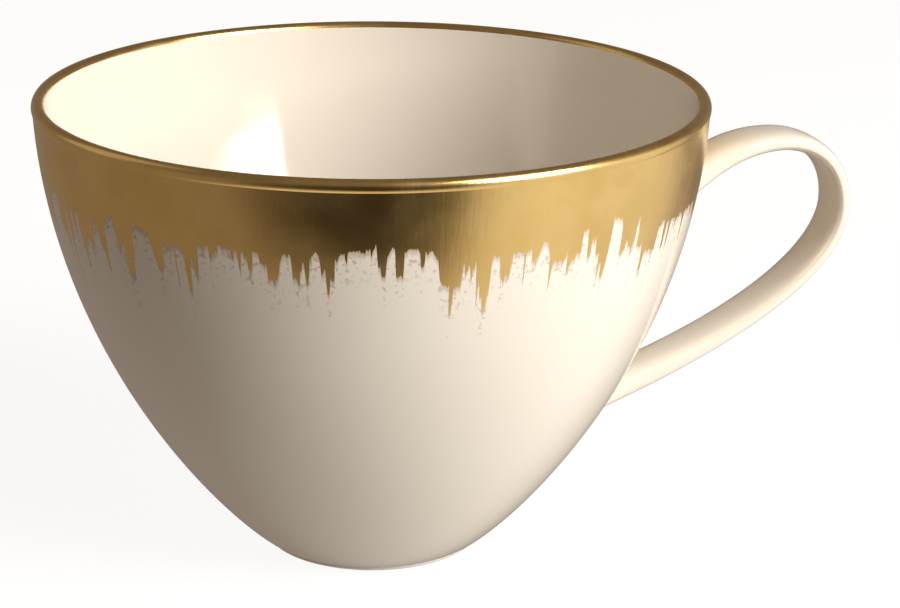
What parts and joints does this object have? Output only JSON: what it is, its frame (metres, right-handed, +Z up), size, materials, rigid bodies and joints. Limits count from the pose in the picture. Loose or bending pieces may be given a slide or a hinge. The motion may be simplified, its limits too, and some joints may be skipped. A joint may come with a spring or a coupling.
{
  "type": "porcelain teacup",
  "caption": "Thin-walled flaring porcelain teacup on a small foot ring, with a looped strap handle and a brushed gold rim band; holds a hot drink.",
  "frame": {"origin": "on the standing surface, in the middle of the footprint of bowl and handle together; the bowl's axis is at x = -13.5 mm", "axes": "+X from the bowl towards its handle, +Z up"},
  "size_m": [0.1269, 0.1, 0.07],
  "materials": {
    "porcelain": "glossy clear glaze over cream porcelain, brushed gold lustre under the rim"
  },
  "bodies": {
    "root": {"cup": "porcelain"}
  },
  "joints": []
}
